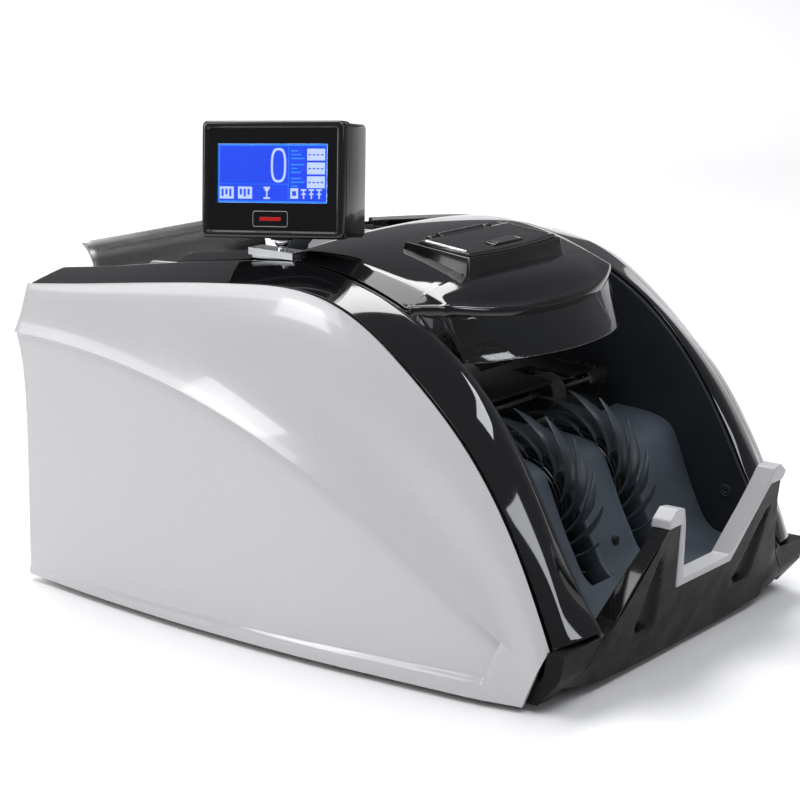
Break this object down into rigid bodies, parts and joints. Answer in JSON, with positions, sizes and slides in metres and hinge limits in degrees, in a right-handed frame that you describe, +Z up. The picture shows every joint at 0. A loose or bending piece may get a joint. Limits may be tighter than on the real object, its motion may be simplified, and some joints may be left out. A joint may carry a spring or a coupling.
{
  "type": "banknote counter",
  "caption": "Desktop banknote counter with hopper, flip-up cover, stacker wheels, leaning front stop, keypad lid and swivelling display on a ball joint.",
  "frame": {"origin": "centre of the footprint box on the surface that the rubber feet stand on", "axes": "+X across the machine to the right seen from the front, -Y towards the front stop, +Z up"},
  "size_m": [0.294, 0.396, 0.2818],
  "materials": {
    "pearl_panel": "glossy pearl white",
    "gloss_black": "piano black gloss",
    "dark_matte": "fine textured, dark brown black",
    "grey_trim": "satin light grey",
    "chamber_grey": "matte blue grey",
    "smoke_clear": "smoked clear, polished",
    "wheel_plastic": "semi-matte black",
    "steel": "zinc plated",
    "shaft_steel": "ground",
    "motor_metal": "satin black",
    "roller_rubber": "matte",
    "foot_rubber": "matte",
    "belt_rubber": "matte",
    "circuit_board": "solder mask green",
    "socket_black": "moulded black",
    "grey_sheet": "satin grey",
    "guide_grey": "satin light grey",
    "silver_block": "brushed",
    "chrome": "polished",
    "key_grey": "satin",
    "display_black": "gloss black",
    "display_glass": "polished",
    "lcd_blue": "backlit blue"
  },
  "bodies": {
    "chassis": {"right_side_panel": "pearl_panel", "left_side_panel": "pearl_panel", "right_side_band": "gloss_black", "left_side_band": "gloss_black", "inner_walls": "chamber_grey", "front_corners": "dark_matte", "side_plates": "steel", "base_tray": "dark_matte", "rubber_feet": "foot_rubber", "rear_cover": "dark_matte", "power_inlet": "socket_black", "power_switch": "socket_black", "rear_sockets": "socket_black", "housing_screws": "steel", "stacker_stop": "dark_matte", "stop_trim": "grey_trim", "chamber_liner": "chamber_grey", "note_sensors": "socket_black", "stacker_motor": "motor_metal", "stacker_belt": "belt_rubber", "main_motor": "motor_metal", "feed_belts": "belt_rubber", "bearings": "shaft_steel", "cross_bars": "steel", "main_board": "circuit_board", "power_supply": "grey_sheet", "hopper_floor": "dark_matte", "hopper_rear_plate": "grey_sheet", "path_plate": "chamber_grey"},
    "cover": {"top_cover": "gloss_black", "hinge_pins": "shaft_steel", "visor": "smoke_clear", "retard_bracket": "steel", "retard_roller": "roller_rubber", "keypad_bezel": "gloss_black", "keypad_board": "circuit_board", "display_bracket": "silver_block"},
    "lid": {"keypad_lid": "gloss_black"},
    "swivel": {"display_neck": "chrome"},
    "display": {"display_front": "display_black", "display_rear": "display_black", "display_window": "display_glass", "display_lcd": "lcd_blue"},
    "impeller": {"impeller_shaft": "shaft_steel", "impeller_wheels": "wheel_plastic"},
    "stacker_drive": {"stacker_spindle": "shaft_steel"},
    "feed": {"feed_shaft": "shaft_steel", "feed_rollers": "roller_rubber"},
    "pickup": {"pickup_shaft": "shaft_steel", "pickup_rollers": "roller_rubber"},
    "transport": {"transport_shaft": "shaft_steel", "transport_rollers": "roller_rubber"},
    "main_drive": {"motor_spindle": "shaft_steel"},
    "right_guide": {"right_hopper_guide": "guide_grey"},
    "left_guide": {"left_hopper_guide": "guide_grey"},
    "rocker": {"power_rocker": "socket_black"},
    "key_mode": {"key_mode": "key_grey"},
    "key_add": {"key_add": "key_grey"},
    "key_clear": {"key_clear": "key_grey"},
    "key_start": {"key_start": "key_grey"}
  },
  "joints": [
    {"name": "cover_hinge", "type": "hinge", "parent": "chassis", "child": "cover", "pos_m": [0, 0.102, 0.184], "axis": [-1, 0, 0], "range_deg": [0, 55]},
    {"name": "lid_hinge", "type": "hinge", "parent": "cover", "child": "lid", "pos_m": [0, -0.01997, 0.21269], "axis": [-1, 0, 0], "range_deg": [0, 105]},
    {"name": "display_swivel", "type": "hinge", "parent": "cover", "child": "swivel", "pos_m": [-0.092, 0.0335, 0.214], "axis": [0, 0, 1], "range_deg": [-30, 110]},
    {"name": "display_tilt", "type": "hinge", "parent": "swivel", "child": "display", "pos_m": [-0.092, 0.0335, 0.214], "axis": [-0.2079, 0.9781, 0], "range_deg": [-10, 10]},
    {"name": "impeller_spin", "type": "hinge", "parent": "chassis", "child": "impeller", "pos_m": [0, -0.0859, 0.074], "axis": [1, 0, 0], "continuous": true},
    {"name": "stacker_motor_spin", "type": "hinge", "parent": "chassis", "child": "stacker_drive", "pos_m": [0, -0.025, 0.045], "axis": [1, 0, 0], "continuous": true},
    {"name": "feed_spin", "type": "hinge", "parent": "chassis", "child": "feed", "pos_m": [0, 0.002, 0.113], "axis": [1, 0, 0], "continuous": true},
    {"name": "pickup_spin", "type": "hinge", "parent": "chassis", "child": "pickup", "pos_m": [0, 0.04, 0.12], "axis": [1, 0, 0], "continuous": true},
    {"name": "transport_spin", "type": "hinge", "parent": "chassis", "child": "transport", "pos_m": [0, -0.04, 0.112], "axis": [1, 0, 0], "continuous": true},
    {"name": "main_motor_spin", "type": "hinge", "parent": "chassis", "child": "main_drive", "pos_m": [0, 0.075, 0.055], "axis": [1, 0, 0], "continuous": true},
    {"name": "right_guide_slide", "type": "slide", "parent": "chassis", "child": "right_guide", "axis": [-1, 0, 0], "range_m": [0, 0.027]},
    {"name": "left_guide_slide", "type": "slide", "parent": "chassis", "child": "left_guide", "axis": [1, 0, 0], "range_m": [0, 0.027]},
    {"name": "power_rocker_hinge", "type": "hinge", "parent": "chassis", "child": "rocker", "pos_m": [0, 0.186, 0.037], "axis": [1, 0, 0], "range_deg": [0, 12]},
    {"name": "key_mode_press", "type": "slide", "parent": "cover", "child": "key_mode", "axis": [0, 0.1045, -0.9945], "range_m": [0, 0.0012], "stiffness_N_per_m": 300, "springref_m": -0.001},
    {"name": "key_add_press", "type": "slide", "parent": "cover", "child": "key_add", "axis": [0, 0.1045, -0.9945], "range_m": [0, 0.0012], "stiffness_N_per_m": 300, "springref_m": -0.001},
    {"name": "key_clear_press", "type": "slide", "parent": "cover", "child": "key_clear", "axis": [0, 0.1045, -0.9945], "range_m": [0, 0.0012], "stiffness_N_per_m": 300, "springref_m": -0.001},
    {"name": "key_start_press", "type": "slide", "parent": "cover", "child": "key_start", "axis": [0, 0.1045, -0.9945], "range_m": [0, 0.0012], "stiffness_N_per_m": 300, "springref_m": -0.001}
  ],
  "couplings": [
    {"joint": "stacker_motor_spin", "follows": "impeller_spin", "ratio": 2},
    {"joint": "pickup_spin", "follows": "feed_spin", "ratio": 1},
    {"joint": "transport_spin", "follows": "feed_spin", "ratio": 1},
    {"joint": "main_motor_spin", "follows": "feed_spin", "ratio": 1.7778},
    {"joint": "left_guide_slide", "follows": "right_guide_slide", "ratio": 1}
  ]
}
